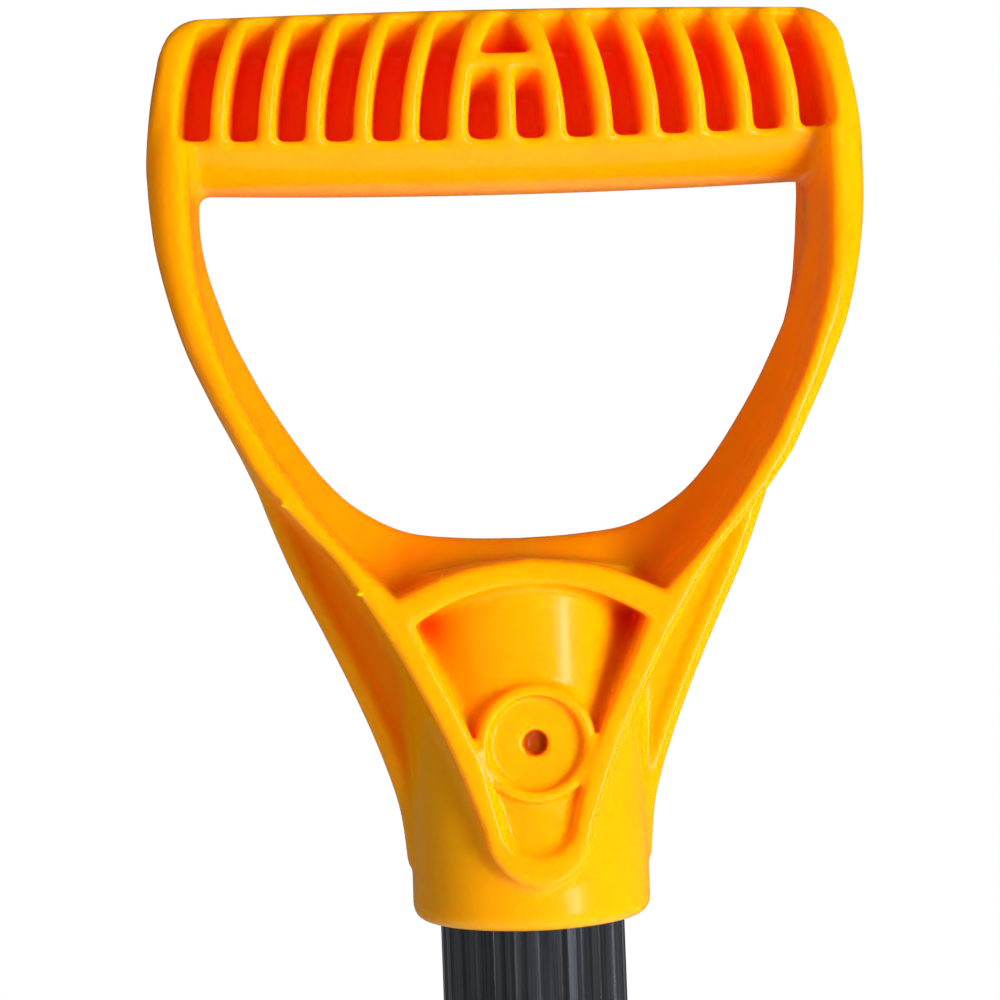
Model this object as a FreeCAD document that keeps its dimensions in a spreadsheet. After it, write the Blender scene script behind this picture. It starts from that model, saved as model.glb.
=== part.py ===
import FreeCAD, Part
import math
import os

import Sketcher

# Telescoping avalanche shovel, standing upright on its blade. Millimetres.
# +Z up the shaft, +X to the right seen from the scoop side, -Y towards the scoop side.
# The origin is the bottom centre of the whole shovel's bounding box.

os.makedirs("parts", exist_ok=True)
doc = FreeCAD.newDocument("avalanche_shovel")
V = FreeCAD.Vector

DRIVING_SIZES = {
    # overall layout, heights above the blade's tip
    "shaft_back": 12.85,  # the shaft's axis behind the middle of the bounding box
    "blade_height": 268.0,
    "socket_foot": 165.0,
    "socket_length": 97.0,
    "lower_tube_foot": 176.5,
    "lower_tube_length": 313.5,
    "upper_tube_foot": 425.0,
    "upper_tube_length": 302.0,
    "grip_foot": 670.0,
    "lower_button_height": 215.0,
    "upper_button_height": 447.0,
    "shaft_travel": 165.0,
    # blade
    "sheet": 2.0,
    "blade_flat_half": 60.0,
    "blade_bend_radius": 50.0,
    "blade_bend_angle": 32.0,
    "blade_side_length": 32.0,
    "blade_toe_radius": 420.0,
    "blade_toe_height": 92.0,
    "step_depth": 16.0,
    "tie_hole_radius": 5.0,
    "tie_hole_side": 48.0,
    "tie_hole_height": 246.0,
    # socket and rivets
    "socket_outer_radius": 20.5,
    "socket_bore_radius": 18.06,
    "wing_half": 38.0,
    "wing_thickness": 3.0,
    "rivet_radius": 2.4,
    "rivet_side": 30.0,
    "stop_pin_radius": 2.5,
    # tubes
    "lower_tube_radius": 18.0,
    "lower_tube_bore": 16.5,
    "upper_tube_radius": 16.0,
    "upper_tube_bore": 14.2,
    "flute_count": 28.0,
    "flute_radius": 1.5,
    "flute_depth": 0.45,
    "button_hole_radius": 4.2,
    # snap clips
    "button_radius": 4.0,
    "clip_thickness": 0.8,
    "clip_width": 8.0,
    "clip_leg_length": 11.0,
    "button_proud": 3.0,
    # guide collar
    "collar_foot": 455.0,
    "collar_length": 45.0,
    "collar_radius": 21.5,
    "liner_bore": 16.06,
    # grip
    "grip_bore_depth": 57.0,
    "grip_collar_radius": 20.65,
    "grip_depth_half": 22.6,
    "grip_web_half": 2.4,
    "bar_centre": 142.4,
    "bar_depth_half": 12.5,
    "bar_height_half": 16.1,
    "slot_pitch": 8.1,
    "slot_first": 12.66,
    "slot_width": 4.65,
    "slot_bend_radius": 58.4,
    "slot_low": 133.0,
    "slot_high": 155.0,
    "slot_web_half": 1.2,
    "boss_centre": 31.4,
    "boss_radius": 10.0,
    "boss_face": 22.0,
    "boss_recess_radius": 7.9,
    "boss_recess_depth": 1.3,
    "screw_seat": 18.0,
    "dimple_radius": 2.2,
    "screw_radius": 2.5,
}

sheet = doc.addObject("Spreadsheet::Sheet", "sizes")
for row, (alias, value) in enumerate(DRIVING_SIZES.items(), 1):
    sheet.set(f"A{row}", alias)
    sheet.set(f"B{row}", str(value))
    sheet.setAlias(f"B{row}", alias)
doc.recompute()


def size(alias):
    return float(getattr(sheet, alias))


# ---------------------------------------------------------------- sketch and feature helpers


def new_body(name):
    body = doc.addObject("PartDesign::Body", name)
    body.Label = name
    return body


def origin_item(body, role):
    return next(item for item in body.Origin.OriginFeatures if item.Role == role)


def new_sketch(body, name, plane="XY_Plane", lift=0.0):
    """A sketch on one of the body's own planes, lifted along that plane's normal.

    XY_Plane looks down +Z, XZ_Plane has its normal along -Y, YZ_Plane along +X.
    """
    sketch = body.newObject("Sketcher::SketchObject", name)
    sketch.AttachmentSupport = (origin_item(body, plane), [""])
    sketch.MapMode = "FlatFace"
    if isinstance(lift, str):
        sketch.setExpression("AttachmentOffset.Base.z", lift)
    else:
        sketch.AttachmentOffset = FreeCAD.Placement(V(0, 0, lift), FreeCAD.Rotation())
    return sketch


def flat(point):
    return V(point[0], point[1], 0)


def add_circle(sketch, radius, centre=(0.0, 0.0)):
    """A circle whose radius is an expression on the size sheet."""
    index = sketch.addGeometry(Part.Circle(flat(centre), V(0, 0, 1), 1.0), False)
    number = sketch.addConstraint(Sketcher.Constraint("Radius", index, 1.0))
    sketch.setExpression(f"Constraints[{number}]", radius)


def add_chain(sketch, pieces):
    """Joins ("line", a, b), ("arc", a, middle, b) and ("curve", points) end to end."""
    for kind, *points in pieces:
        if kind == "line":
            geometry = Part.LineSegment(flat(points[0]), flat(points[1]))
        elif kind == "arc":
            geometry = Part.Arc(*[flat(p) for p in points])
        else:
            geometry = Part.BSplineCurve()
            geometry.interpolate([flat(p) for p in points[0]])
        sketch.addGeometry(geometry, False)


def add_polygon(sketch, points):
    add_chain(sketch, [("line", a, b) for a, b in zip(points, points[1:] + points[:1])])


def add_box(sketch, low, high):
    add_polygon(sketch, [low, (high[0], low[1]), high, (low[0], high[1])])


def add_capsule(sketch, centre, half_width, half_length):
    """An upright slot with round ends."""
    x, z = centre
    left, right = x - half_width, x + half_width
    low, high = z - half_length + half_width, z + half_length - half_width
    add_chain(sketch, [
        ("line", (left, high), (left, low)),
        ("arc", (left, low), (x, z - half_length), (right, low)),
        ("line", (right, low), (right, high)),
        ("arc", (right, high), (x, z + half_length), (left, high)),
    ])


def mirrored(pieces):
    """The same chain reflected in x, in reverse order, so that both halves join up."""
    result = []
    for kind, *points in reversed(pieces):
        if kind == "curve":
            result.append((kind, [(-x, y) for x, y in reversed(points[0])]))
        else:
            result.append((kind, *[(-x, y) for x, y in reversed(points)]))
    return result


def extrude(body, name, sketch, length, cut=False, both=False, reverse=False):
    """Pad or pocket; length is a number or an expression, None cuts right through."""
    feature = body.newObject("PartDesign::Pocket" if cut else "PartDesign::Pad", name)
    feature.Profile = sketch
    if both:
        feature.SideType = "Symmetric"
    feature.Reversed = reverse
    if length is None:
        feature.Type = "ThroughAll"
    elif isinstance(length, str):
        feature.setExpression("Length", length)
    else:
        feature.Length = length
    sketch.Visibility = False
    return feature


def revolve(body, name, sketch, cut=False):
    """A full turn about the body's Z axis of a sketch on the XZ plane."""
    feature = body.newObject("PartDesign::Groove" if cut else "PartDesign::Revolution", name)
    feature.Profile = sketch
    feature.ReferenceAxis = (origin_item(body, "Z_Axis"), [""])
    feature.Angle = 360.0
    return feature


def ring(body, name, outer, inner, length, foot=0.0):
    """A straight tube section standing at height foot."""
    sketch = new_sketch(body, name + "_outline", lift=foot)
    add_circle(sketch, outer)
    if inner:
        add_circle(sketch, inner)
    return extrude(body, name, sketch, length)


def cross_hole(body, name, radius, height, plane="XZ_Plane", reverse=False, both=False, depth=None):
    """A round hole across the shaft at a height given as an expression."""
    sketch = new_sketch(body, name + "_outline", plane)
    index = sketch.addGeometry(Part.Circle(V(0, 1, 0), V(0, 0, 1), 1.0), False)
    for number, (kind, expression) in enumerate((("Radius", radius), ("DistanceY", height))):
        if kind == "Radius":
            sketch.addConstraint(Sketcher.Constraint(kind, index, 1.0))
        else:
            sketch.addConstraint(Sketcher.Constraint(kind, -1, 1, index, 3, 1.0))
        sketch.setExpression(f"Constraints[{number}]", expression)
    sketch.addConstraint(Sketcher.Constraint("PointOnObject", index, 3, -2))
    return extrude(body, name, sketch, depth, cut=True, both=both, reverse=reverse)


def place(body, height="0"):
    """Stands a body on the shaft's axis at a height given as an expression."""
    body.setExpression("Placement.Base.y", "sizes.shaft_back")
    body.setExpression("Placement.Base.z", height)


def dress(body, name, kind, amount, wanted):
    """A fillet or chamfer on the edges of the body's tip that the test picks out."""
    doc.recompute()
    base = body.Tip
    edges = [f"Edge{n}" for n, edge in enumerate(base.Shape.Edges, 1) if wanted(edge)]
    feature = body.newObject("PartDesign::" + kind, name)
    feature.Base = (base, edges)
    if kind == "Fillet":
        feature.Radius = amount
    else:
        feature.Size = amount
    return feature


def at_height(edge, height, slack=0.01):
    box = edge.BoundBox
    return abs(box.ZMin - height) < slack and abs(box.ZMax - height) < slack


parts = []

# ---------------------------------------------------------------- blade

blade = new_body("blade")
parts.append(blade)
sheet_mm = size("sheet")
back_face = -size("socket_outer_radius")
flat_half = size("blade_flat_half")
bend = math.radians(size("blade_bend_angle"))


def blade_half_section(radius_extra, offset):
    """Right half of the scoop's section: flat middle, bend forward, straight side."""
    radius = size("blade_bend_radius") + radius_extra
    middle, end = bend / 2, bend
    side = size("blade_side_length")

    def on_bend(angle):
        x = flat_half + radius * math.sin(angle)
        return (x, offset - radius * (1 - math.cos(angle)))

    tip = on_bend(end)
    tip = (tip[0] + side * math.cos(bend), tip[1] - side * math.sin(bend))
    return [
        ("line", (0, offset), (flat_half, offset)),
        ("arc", (flat_half, offset), on_bend(middle), on_bend(end)),
        ("line", on_bend(end), tip),
    ]


# The scoop's section is swept down the blade: straight behind the socket, then curling forward.
section = new_sketch(blade, "blade_section", lift="sizes.blade_height")
rear_half = blade_half_section(sheet_mm, back_face)
front_half = blade_half_section(0.0, back_face - sheet_mm)
rear_tip, front_tip = rear_half[-1][-1], front_half[-1][-1]
add_chain(section, mirrored(rear_half) + rear_half)
add_chain(section, mirrored(front_half) + front_half)
add_chain(section, [("line", rear_tip, front_tip)])
add_chain(section, [("line", (-rear_tip[0], rear_tip[1]), (-front_tip[0], front_tip[1]))])

toe_radius = size("blade_toe_radius")
toe_height = size("blade_toe_height")
toe_angle = math.asin((toe_height + 8) / toe_radius)


def on_toe(angle):
    y = back_face - toe_radius * (1 - math.cos(angle))
    return (y, toe_height - toe_radius * math.sin(angle))


spine = new_sketch(blade, "blade_spine", "YZ_Plane")
add_chain(spine, [
    ("line", (back_face, size("blade_height")), (back_face, toe_height)),
    ("arc", on_toe(0), on_toe(toe_angle / 2), on_toe(toe_angle)),
])
scoop = blade.newObject("PartDesign::AdditivePipe", "scoop")
scoop.Profile = section
scoop.Spine = spine
scoop.Mode = "Frenet"

# Outline: rounded top shoulders, nearly straight sides, shallow curved digging edge.
half_wide = 130.0
outline = new_sketch(blade, "blade_outline", "XZ_Plane")
top = size("blade_height")
right_edge = [
    ("arc", (92, 12), (105, 21), (110, 36)),
    ("line", (110, 36), (117, top - 34)),
    ("arc", (117, top - 34), (112.5, top - 13), (93, top)),
    ("line", (93, top), (0, top)),
]
add_chain(outline, [("arc", (-92, 12), (0, 0), (92, 12))])
add_chain(outline, mirrored(right_edge) + right_edge)
add_box(outline, (-half_wide, -20), (half_wide, top + 10))
extrude(blade, "blade_trim", outline, None, cut=True, both=True)

# The top edge is turned back on both sides of the shaft as a step for the boot.
steps = new_sketch(blade, "step_outline", lift="sizes.blade_height")
step_back = back_face + size("step_depth")
for side in (-1, 1):
    near, far = sorted((side * 27.0, side * 92.0))
    add_chain(steps, [
        ("line", (near, back_face - sheet_mm), (far, back_face - sheet_mm)),
        ("line", (far, back_face - sheet_mm), (far, step_back - 4)),
        ("line", (far, step_back - 4), (far - 4, step_back)),
        ("line", (far - 4, step_back), (near + 4, step_back)),
        ("line", (near + 4, step_back), (near, step_back - 4)),
        ("line", (near, step_back - 4), (near, back_face - sheet_mm)),
    ])
extrude(blade, "steps", steps, "sizes.sheet", reverse=True)

# Pressed stiffening beads: raised behind, hollow in front.
BEADS = [(-49, 165, 62), (49, 165, 62), (0, 120, 32)]
for name, half_width, lift, cut in (
    ("bead_backs", 6.0, 0.0, False),
    ("bead_hollows", 4.6, 0.0, True),
):
    face = -back_face if name == "bead_backs" else -back_face + sheet_mm
    beads = new_sketch(blade, name + "_outline", "XZ_Plane", lift=face)
    for x, z, half_length in BEADS:
        add_capsule(beads, (x, z), half_width, half_length - (6.0 - half_width))
    extrude(blade, name, beads, 1.6, cut=cut, reverse=not cut)

tie_holes = new_sketch(blade, "tie_hole_outline", "XZ_Plane")
for side in (-1, 1):
    add_circle(tie_holes, "sizes.tie_hole_radius", (side * size("tie_hole_side"), size("tie_hole_height")))
extrude(blade, "tie_holes", tie_holes, None, cut=True, both=True)

RIVET_HEIGHTS = (180.0, 213.5, 247.0)
rivet_spots = [(side * size("rivet_side"), z) for side in (-1, 1) for z in RIVET_HEIGHTS]
rivet_holes = new_sketch(blade, "rivet_hole_outline", "XZ_Plane")
for spot in rivet_spots:
    add_circle(rivet_holes, "sizes.rivet_radius + 0.05", spot)
extrude(blade, "rivet_holes", rivet_holes, None, cut=True, both=True)
place(blade)

# ---------------------------------------------------------------- socket on the back of the blade

socket = new_body("blade_socket")
parts.append(socket)
socket_section = new_sketch(socket, "socket_section")
outer = size("socket_outer_radius")
wing = size("wing_half")
wing_top = back_face + size("wing_thickness")
meet = math.sqrt(outer**2 - wing_top**2)
right_wing = [
    ("line", (0, back_face), (wing, back_face)),
    ("line", (wing, back_face), (wing, wing_top)),
    ("line", (wing, wing_top), (meet, wing_top)),
    ("arc", (meet, wing_top), (outer, 0), (0, outer)),
]
add_chain(socket_section, mirrored(right_wing) + right_wing)
add_circle(socket_section, "sizes.socket_bore_radius")
extrude(socket, "socket_extrusion", socket_section, "sizes.socket_length")
cross_hole(socket, "button_hole", "sizes.button_hole_radius",
           "sizes.lower_button_height - sizes.socket_foot")
cross_hole(socket, "stop_pin_hole", "sizes.stop_pin_radius + 0.05", "7.5", "YZ_Plane", both=True)
wing_holes = new_sketch(socket, "wing_hole_outline", "XZ_Plane")
for x, z in rivet_spots:
    add_circle(wing_holes, "sizes.rivet_radius + 0.05", (x, z - size("socket_foot")))
extrude(socket, "wing_holes", wing_holes, None, cut=True, both=True)
dress(socket, "mouth_edges", "Chamfer", 0.6, lambda edge: at_height(edge, size("socket_length")))
place(socket, "sizes.socket_foot")

# ---------------------------------------------------------------- rivets and stop pin

rivet_shape = Part.makeCylinder(size("rivet_radius"), sheet_mm + size("wing_thickness"),
                                V(0, back_face - sheet_mm, 0), V(0, 1, 0))
head_radius, head_height = 4.6, 1.7
dome_radius = (head_radius**2 + head_height**2) / (2 * head_height)
for face, direction in ((back_face - sheet_mm, -1), (wing_top, 1)):
    dome = Part.makeSphere(dome_radius, V(0, face + direction * (head_height - dome_radius), 0))
    slab = Part.makeCylinder(head_radius, head_height, V(0, face, 0), V(0, direction, 0))
    rivet_shape = rivet_shape.fuse(dome.common(slab))
rivet_shape = rivet_shape.removeSplitter()

rivets = doc.addObject("Part::Feature", "socket_rivets")
rivets.Label = "socket_rivets"
rivets.Shape = Part.makeCompound([rivet_shape.translated(V(x, 0, z)) for x, z in rivet_spots])
place(rivets)
parts.append(rivets)

stop_pin = new_body("socket_stop_pin")
parts.append(stop_pin)
pin_outline = new_sketch(stop_pin, "pin_outline", "YZ_Plane")
add_circle(pin_outline, "sizes.stop_pin_radius")
extrude(stop_pin, "pin", pin_outline, "2 * sizes.socket_outer_radius + 1.6", both=True)
dress(stop_pin, "pin_ends", "Fillet", 0.7, lambda edge: edge.Curve.TypeId == "Part::GeomCircle")
place(stop_pin, "sizes.socket_foot + 7.5")

# ---------------------------------------------------------------- lower shaft

lower_tube = new_body("lower_tube")
parts.append(lower_tube)
ring(lower_tube, "tube", "sizes.lower_tube_radius", "sizes.lower_tube_bore", "sizes.lower_tube_length")
foot = "sizes.lower_tube_foot"
for name, height in (
    ("lower_button_hole", f"sizes.lower_button_height - {foot}"),
    ("extended_hole", f"sizes.upper_button_height - {foot}"),
    ("stowed_hole", f"sizes.upper_button_height - sizes.shaft_travel - {foot}"),
):
    cross_hole(lower_tube, name, "sizes.button_hole_radius", height)
cross_hole(lower_tube, "collar_screw_hole", "1.6", f"sizes.collar_foot + 16 - {foot}", "YZ_Plane",
           reverse=True)
dress(lower_tube, "tube_ends", "Chamfer", 0.3,
      lambda edge: at_height(edge, 0) or at_height(edge, size("lower_tube_length")))
place(lower_tube, foot)

lower_plug = new_body("lower_tube_plug")
parts.append(lower_plug)
ring(lower_plug, "plug_flange", "sizes.lower_tube_radius - 0.1", "11", "1.4")
ring(lower_plug, "plug_sleeve", "sizes.lower_tube_bore - 0.05", "11", "9", 1.4)
dress(lower_plug, "plug_edge", "Fillet", 0.6,
      lambda edge: at_height(edge, 0) and edge.Length > 100)
place(lower_plug, f"{foot} - 1.45")

guide = new_body("guide_collar")
parts.append(guide)
collar_length = size("collar_length")
collar_radius = size("collar_radius")
tube_radius = size("lower_tube_radius")
guide_profile = new_sketch(guide, "collar_profile", "XZ_Plane")
lip = collar_length - 9.7
add_chain(guide_profile, [
    ("line", (tube_radius + 0.05, 0), (tube_radius + 1.4, 0)),
    ("curve", [(tube_radius + 1.4, 0), (collar_radius - 0.6, 8), (collar_radius, 20),
               (collar_radius, collar_length - 12)]),
    ("arc", (collar_radius, collar_length - 12), (collar_radius - 1.6, collar_length - 3.4),
     (tube_radius, collar_length)),
    ("line", (tube_radius, collar_length), (size("upper_tube_radius") + 1.0, collar_length)),
    ("line", (size("upper_tube_radius") + 1.0, collar_length),
     (size("upper_tube_radius") + 0.08, collar_length - 1.0)),
    ("line", (size("upper_tube_radius") + 0.08, collar_length - 1.0),
     (size("upper_tube_radius") + 0.08, lip)),
    ("line", (size("upper_tube_radius") + 0.08, lip), (tube_radius + 0.05, lip)),
    ("line", (tube_radius + 0.05, lip), (tube_radius + 0.05, 0)),
])
revolve(guide, "collar_turned", guide_profile)
cross_hole(guide, "screw_hole", "1.6", "16", "YZ_Plane", reverse=True)
head_seat = cross_hole(guide, "screw_head_seat", "3.2", "16", "YZ_Plane", reverse=True, depth="10")
seat_floor = V(0, 0, collar_radius - 1.6)
head_seat.Profile[0].AttachmentOffset = FreeCAD.Placement(seat_floor, FreeCAD.Rotation())
grip_rings = new_sketch(guide, "ring_groove_profile", "XZ_Plane")
for z in (24.0, 27.5, 31.0):
    add_box(grip_rings, (collar_radius - 0.7, z), (collar_radius + 1.0, z + 1.4))
revolve(guide, "ring_grooves", grip_rings, cut=True)
place(guide, "sizes.collar_foot")

liner = new_body("guide_liner")
parts.append(liner)
ring(liner, "liner", "sizes.lower_tube_bore - 0.03", "sizes.liner_bore", "26")
place(liner, "sizes.collar_foot + 8")

guide_screw = new_body("guide_screw")
parts.append(guide_screw)
screw_outline = new_sketch(guide_screw, "shank_outline", "YZ_Plane", lift=16.55)
add_circle(screw_outline, "1.55")
extrude(guide_screw, "shank", screw_outline, 4.0)
head_outline = new_sketch(guide_screw, "head_outline", "YZ_Plane", lift=collar_radius - 1.55)
add_circle(head_outline, "2.9")
extrude(guide_screw, "head", head_outline, 1.7)
dress(guide_screw, "head_edge", "Fillet", 0.9,
      lambda edge: edge.BoundBox.XMin > collar_radius + 0.1)
recess_outline = new_sketch(guide_screw, "recess_outline", "YZ_Plane", lift=collar_radius + 0.15)
add_polygon(recess_outline, [
    (1.25 * math.cos(math.radians(60 * n)), 1.25 * math.sin(math.radians(60 * n))) for n in range(6)
])
extrude(guide_screw, "recess", recess_outline, 1.1, cut=True)
place(guide_screw, "sizes.collar_foot + 16")

# ---------------------------------------------------------------- snap clips


def snap_clip(name, tube_bore, button_top, height, bend_up):
    """A strip bent into a V inside the tube, with a drawn button that stands out through the holes."""
    body = new_body(name)
    thickness, width, leg = size("clip_thickness"), size("clip_width"), size("clip_leg_length")
    reach = math.sqrt((tube_bore - 0.1) ** 2 - (width / 2) ** 2)
    inner = reach - thickness
    side = 1 if bend_up else -1
    turn = side * leg
    foot = -side * 7
    strip = new_sketch(body, name + "_strip", "YZ_Plane")
    add_chain(strip, [
        ("line", (reach, foot), (reach, turn)),
        ("arc", (reach, turn), (0, turn + side * reach), (-reach, turn)),
        ("line", (-reach, turn), (-reach, foot)),
        ("line", (-reach, foot), (-inner, foot)),
        ("line", (-inner, foot), (-inner, turn)),
        ("arc", (-inner, turn), (0, turn + side * inner), (inner, turn)),
        ("line", (inner, turn), (inner, foot)),
        ("line", (inner, foot), (reach, foot)),
    ])
    extrude(body, "strip", strip, "sizes.clip_width", both=True)
    button = new_sketch(body, name + "_button", "XZ_Plane", lift=-(inner + 0.1))
    add_circle(button, "sizes.button_radius")
    extrude(body, "button", button, button_top - inner - 0.1, reverse=True)
    dress(body, "button_edge", "Fillet", 1.6,
          lambda edge: edge.Curve.TypeId == "Part::GeomCircle" and edge.BoundBox.YMin > button_top - 0.1)
    hollow = new_sketch(body, name + "_hollow", "XZ_Plane", lift=-(inner - 0.1))
    add_circle(hollow, "sizes.button_radius - 1.0")
    extrude(body, "hollow", hollow, button_top - inner - 1.2, cut=True)
    place(body, height)
    parts.append(body)


snap_clip("lower_snap_button", size("lower_tube_bore"), size("socket_outer_radius") + size("button_proud"),
          "sizes.lower_button_height", False)
snap_clip("upper_snap_button", size("upper_tube_bore"), size("lower_tube_radius") + size("button_proud"),
          "sizes.upper_button_height", True)

# ---------------------------------------------------------------- upper shaft

upper_tube = new_body("upper_tube")
parts.append(upper_tube)
ring(upper_tube, "tube", "sizes.upper_tube_radius", "sizes.upper_tube_bore", "sizes.upper_tube_length")
flute = new_sketch(upper_tube, "flute_outline")
add_circle(flute, "sizes.flute_radius",
           (size("upper_tube_radius") + size("flute_radius") - size("flute_depth"), 0))
extrude(upper_tube, "first_flute", flute, None, cut=True, reverse=True)
flutes = upper_tube.newObject("PartDesign::PolarPattern", "flutes")
flutes.Originals = [upper_tube.getObject("first_flute") or doc.getObject("first_flute")]
flutes.Axis = (origin_item(upper_tube, "Z_Axis"), [""])
flutes.Angle = 360.0
flutes.setExpression("Occurrences", "sizes.flute_count")
upper_tube.Tip = flutes
doc.recompute()
tube_foot = "sizes.upper_tube_foot"
cross_hole(upper_tube, "upper_button_hole", "sizes.button_hole_radius",
           f"sizes.upper_button_height - {tube_foot}")
cross_hole(upper_tube, "grip_screw_hole", "sizes.screw_radius + 0.1",
           f"sizes.grip_foot + sizes.boss_centre - {tube_foot}", both=True)
place(upper_tube, tube_foot)

glide = new_body("upper_tube_glide")
parts.append(glide)
ring(glide, "glide_flange", "sizes.lower_tube_bore - 0.08", "11.5", "3.9")
ring(glide, "glide_sleeve", "sizes.upper_tube_bore - 0.05", "11.5", "6", 3.9)
dress(glide, "glide_edge", "Fillet", 0.8, lambda edge: at_height(edge, 0) and edge.Length > 90)
place(glide, f"{tube_foot} - 3.95")

core = new_body("shaft_core_plug")
parts.append(core)
ring(core, "core", "sizes.upper_tube_bore - 0.05", "", "44")
cross_hole(core, "screw_passage", "sizes.screw_radius + 0.05", "sizes.boss_centre - 11", both=True)
dress(core, "core_ends", "Chamfer", 1.0, lambda edge: at_height(edge, 0) or at_height(edge, 44))
place(core, "sizes.grip_foot + 11")

# ---------------------------------------------------------------- D grip
# Heights in the grip are measured up from the rim of its collar.

grip = new_body("d_grip")
parts.append(grip)
depth = size("grip_depth_half")

# Widest outline, at the parting plane, from the collar up the right arm.
arm_outside = [(20.9, 10), (22.2, 20), (25.1, 30), (28.9, 40), (33.2, 50), (37.9, 60), (42.3, 70),
               (46.2, 80), (51.5, 90), (56.3, 100), (59.6, 110), (62.0, 120), (62.9, 130),
               (62.2, 140), (60.9, 149)]
shoulder = ("arc", (60.9, 149), (59.4, 155.2), (54.5, 158.5))
# The fan's outer edge: it leaves the arm at the elbow and closes in a U over the collar.
fan_outside = [(9.2, 17.2), (12.8, 27), (15.8, 34.3), (21.5, 45.5), (25.5, 52.4), (28.5, 57.3),
               (32.5, 63.3), (36.5, 67.6), (40.4, 72), (45.4, 78.6)]
elbow = len([p for p in arm_outside if p[1] <= 80])

arms = new_sketch(grip, "arm_outline", "XZ_Plane")
right_arm = [
    ("arc", (0, 7.6), (6.2, 10.4), fan_outside[0]),
    ("curve", fan_outside),
    ("line", fan_outside[-1], arm_outside[elbow]),
    ("curve", arm_outside[elbow:]),
    shoulder,
    ("line", (54.5, 158.5), (0, 158.5)),
]
add_chain(arms, mirrored(right_arm) + right_arm)
extrude(grip, "arms", arms, "2 * sizes.grip_depth_half", both=True)

# Seen from the side the yoke is deepest at the fan and the arms round over at the top.
profile = new_sketch(grip, "side_outline", "YZ_Plane")
right_side = [
    ("line", (0, 0), (depth, 0)),
    ("line", (depth, 0), (depth, 62)),
    ("curve", [(depth, 62), (20.9, 92), (19.2, 122), (18.6, 134)]),
    ("arc", (18.6, 134), (13.4, 151.5), (0, 158.6)),
]
add_chain(profile, mirrored(right_side) + right_side)
add_box(profile, (-40, -10), (40, 180))
extrude(grip, "side_trim", profile, None, cut=True, both=True)

web = new_sketch(grip, "web_outline", "XZ_Plane")
right_web = [
    ("line", (0, 10), arm_outside[0]),
    ("curve", arm_outside),
    shoulder,
    ("line", (54.5, 158.5), (0, 158.5)),
]
add_chain(web, mirrored(right_web) + right_web)
extrude(grip, "web", web, "2 * sizes.grip_web_half", both=True)

# The hand opening flares from the parting plane towards both faces.
OPENING_TOP = 172.0
middle_side = [(54.6, 126), (53.2, 117), (51.9, 112), (50.2, 107), (48.2, 102), (45.7, 97), (43, 92),
               (40, 87), (36.7, 82), (32.7, 77), (27.5, 72), (20, 68)]
middle_sill = [(20, 68), (10, 66.1), (0, 65.5)]
face_side = [(55.4, 126), (53.9, 116.5), (53.3, 110), (52, 104), (50.2, 98), (48, 92), (45.2, 86.5),
             (42.3, 81), (39.6, 77), (36, 71.5), (30.8, 65), (22.4, 56)]
face_sill = [(22.4, 56), (11.5, 60.5), (0, 62.1)]


def opening_section(name, lift, side, sill):
    section = new_sketch(grip, name, "XZ_Plane", lift=lift)
    right = [
        ("curve", list(reversed(sill))),
        ("curve", list(reversed(side))),
        ("line", side[0], (side[0][0], OPENING_TOP)),
    ]
    add_chain(section, mirrored(right) + right)
    add_chain(section, [("line", (side[0][0], OPENING_TOP), (-side[0][0], OPENING_TOP))])
    return section


front_section = opening_section("opening_front", depth + 0.6, face_side, face_sill)
middle_section = opening_section("opening_middle", 0.0, middle_side, middle_sill)
rear_section = opening_section("opening_rear", -depth - 0.6, face_side, face_sill)
opening = grip.newObject("PartDesign::SubtractiveLoft", "hand_opening")
opening.Profile = front_section
opening.Sections = [middle_section, rear_section]
opening.Ruled = True

# Cross bar: an upright oval, run a little way into both arms.
bar = new_sketch(grip, "bar_outline", "YZ_Plane")
bar_z, bar_y, bar_h = size("bar_centre"), size("bar_depth_half"), size("bar_height_half")
bar.addGeometry(Part.Ellipse(V(0, bar_z + bar_h, 0), V(bar_y, bar_z, 0), V(0, bar_z, 0)), False)
extrude(grip, "bar", bar, 111.0, both=True)

# The fan is hollow on both faces down to the collar's cylinder.
fan_inside = [(19.3, 51.7), (16.6, 45.5), (11.2, 34.3), (8.4, 27), (6, 18.2)]
right_fan = [
    ("arc", (0, 12.6), (4.2, 14.4), fan_inside[-1]),
    ("curve", list(reversed(fan_inside))),
    ("arc", fan_inside[0], (10.0, 56.2), (0, 57.8)),
]
for face, reverse in (("front", True), ("rear", False)):
    side = 1 if face == "front" else -1
    fan = new_sketch(grip, f"fan_{face}_outline", "XZ_Plane", lift=side * size("grip_web_half"))
    add_chain(fan, mirrored(right_fan) + right_fan)
    extrude(grip, f"fan_{face}", fan, 30.0, cut=True, reverse=reverse)

# Collar round the tube, slightly tapered, with a softened rim.
collar = new_sketch(grip, "collar_profile", "XZ_Plane")
rim = size("grip_collar_radius")
add_chain(collar, [
    ("line", (0, 0), (rim - 2.4, 0)),
    ("arc", (rim - 2.4, 0), (rim - 0.6, 0.75), (rim, 2.6)),
    ("curve", [(rim, 2.6), (rim - 0.3, 20), (rim - 0.65, 60)]),
    ("line", (rim - 0.65, 60), (0, 60)),
    ("line", (0, 60), (0, 0)),
])
revolve(grip, "collar", collar)

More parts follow.
